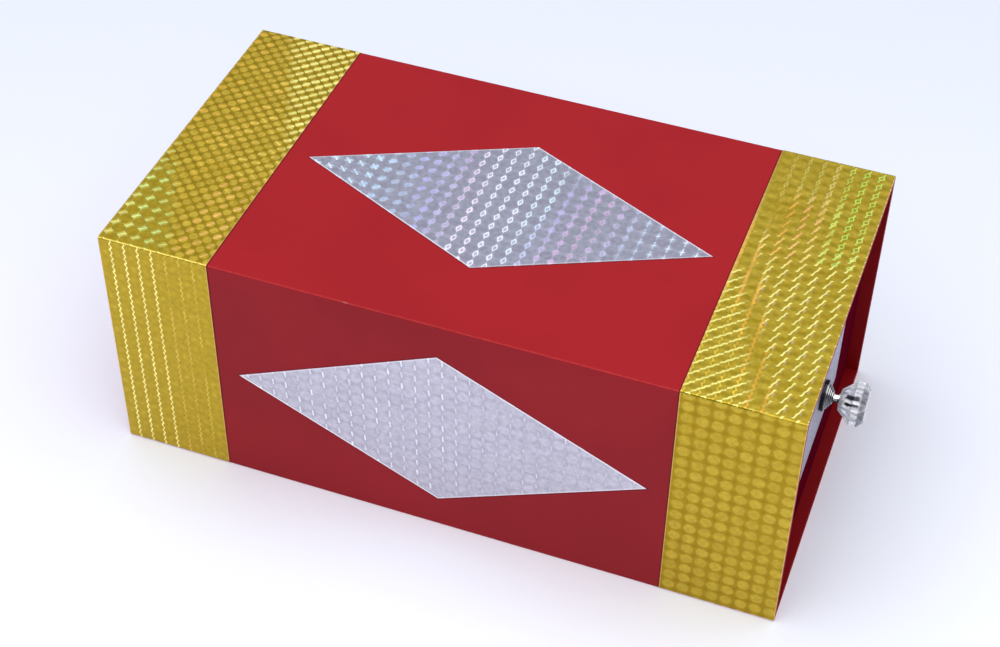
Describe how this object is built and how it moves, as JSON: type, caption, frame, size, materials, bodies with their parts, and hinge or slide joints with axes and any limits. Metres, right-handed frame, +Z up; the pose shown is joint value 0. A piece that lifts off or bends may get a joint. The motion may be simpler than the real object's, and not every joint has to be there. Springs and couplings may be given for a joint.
{
  "type": "magic drawer box",
  "caption": "Rectangular drawer box with gold bands, silver diamonds and a crystal turn-knob that locks a hidden inner tray to the drawer",
  "frame": {"origin": "centre of the case's underside, on the surface that the box stands on", "axes": "+X along the box's length, out of the drawer's front; +Y to the far side; +Z up"},
  "size_m": [0.3137, 0.1594, 0.1182],
  "materials": {
    "red_case_paint": "3 mm board, painted deep red, semi-gloss, edges worn",
    "red_drawer_paint": "board painted the same red, semi-gloss",
    "black_drawer_paint": "board painted matt black",
    "gold_film": "metallised gold film, pressed in a fine prismatic lattice",
    "silver_film": "metallised silver film, pressed in a fine prismatic lattice",
    "knob_chrome": "polished chrome plate",
    "clear_crystal": "clear cut crystal, polished facets",
    "zinc_steel": "zinc-plated steel",
    "bush_brass": "turned brass",
    "magnet_nickel": "nickel-plated magnet"
  },
  "bodies": {
    "case": {"case_top_board": "red_case_paint", "case_bottom_board": "red_case_paint", "case_near_side_board": "red_case_paint", "case_far_side_board": "red_case_paint", "case_back_board": "red_case_paint", "holding_magnet": "magnet_nickel", "front_gold_band": "gold_film", "rear_gold_band": "gold_film", "top_silver_diamond": "silver_film", "near_silver_diamond": "silver_film", "far_silver_diamond": "silver_film"},
    "drawer": {"drawer_front_board": "red_drawer_paint", "drawer_near_side": "black_drawer_paint", "drawer_far_side": "black_drawer_paint", "drawer_floor_board": "black_drawer_paint", "drawer_near_rim": "red_drawer_paint", "drawer_far_rim": "red_drawer_paint", "drawer_front_rim": "red_drawer_paint", "drawer_front_label": "silver_film", "spindle_bush": "bush_brass"},
    "tray": {"tray_floor_board": "black_drawer_paint", "tray_near_wall": "black_drawer_paint", "tray_far_wall": "black_drawer_paint", "tray_back_wall": "black_drawer_paint", "tray_slotted_wall": "black_drawer_paint", "tray_front_liner": "black_drawer_paint", "tray_pocket_cap": "black_drawer_paint", "tray_steel_disc": "zinc_steel"},
    "knob": {"knob_base": "knob_chrome", "knob_crystal": "clear_crystal", "knob_spindle": "zinc_steel", "plain_washer": "zinc_steel", "spring_washer": "zinc_steel", "spindle_nuts": "zinc_steel", "lock_bar": "zinc_steel"}
  },
  "joints": [
    {"name": "drawer_slide", "type": "slide", "parent": "case", "child": "drawer", "axis": [1, 0, 0], "range_m": [0, 0.225]},
    {"name": "tray_slide", "type": "slide", "parent": "case", "child": "tray", "axis": [1, 0, 0], "range_m": [0, 0.225]},
    {"name": "knob_turn", "type": "hinge", "parent": "drawer", "child": "knob", "pos_m": [0.1348, 0, 0.05705], "axis": [1, 0, 0], "range_deg": [0, 90]}
  ],
  "couplings": [
    {"joint": "tray_slide", "follows": "drawer_slide", "ratio": 1}
  ]
}
